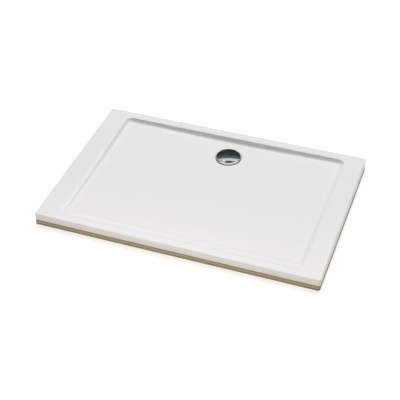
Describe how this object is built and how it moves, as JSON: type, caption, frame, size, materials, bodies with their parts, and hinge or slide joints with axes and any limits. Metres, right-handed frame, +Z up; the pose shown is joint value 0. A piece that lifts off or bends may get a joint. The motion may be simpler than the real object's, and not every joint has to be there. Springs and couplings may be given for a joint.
{
  "type": "shower tray",
  "caption": "Low rectangular acrylic shower tray on a wood board, with a sloped basin and a round waste near one long edge under a lift-off chrome cover.",
  "frame": {"origin": "centre of the tray's underside, on the plane it stands on", "axes": "+X along the 1200 mm length, +Y across the width to the edge beside the waste, +Z up"},
  "size_m": [1.2, 0.8, 0.055],
  "materials": {
    "white_acrylic": "cast acrylic sheet, high gloss",
    "glass_laminate": "glass-fibre reinforced resin, rough",
    "rigid_foam": "rigid polyurethane foam",
    "wood_board": "moisture-resistant wood board, sawn edge",
    "timber": "planed softwood",
    "black_rubber": "moulded rubber",
    "stainless_steel": "pressed stainless steel, satin",
    "white_polypropylene": "moulded polypropylene",
    "brass_insert": "turned brass",
    "steel_screw": "stainless steel screws",
    "grey_polypropylene": "moulded polypropylene",
    "chrome_plate": "pressed sheet, mirror chrome plate"
  },
  "bodies": {
    "tray": {"tray_shell": "white_acrylic", "reinforcement_layer": "glass_laminate", "core_filler": "rigid_foam", "base_board": "wood_board", "left_batten": "timber", "right_batten": "timber", "front_batten": "timber", "back_batten": "timber", "lower_gasket": "black_rubber", "upper_gasket": "black_rubber", "waste_flange": "stainless_steel", "waste_body": "white_polypropylene", "screw_inserts": "brass_insert", "flange_screws": "steel_screw"},
    "strainer": {"hair_strainer": "grey_polypropylene"},
    "cover": {"cover_carrier": "grey_polypropylene", "waste_cover": "chrome_plate"}
  },
  "joints": [
    {"name": "cover_lift", "type": "slide", "parent": "tray", "child": "cover", "axis": [0, 0, 1], "range_m": [0, 0.16]},
    {"name": "strainer_lift", "type": "slide", "parent": "tray", "child": "strainer", "axis": [0, 0, 1], "range_m": [0, 0.08]}
  ],
  "couplings": [
    {"joint": "strainer_lift", "follows": "cover_lift", "ratio": 0.5}
  ]
}
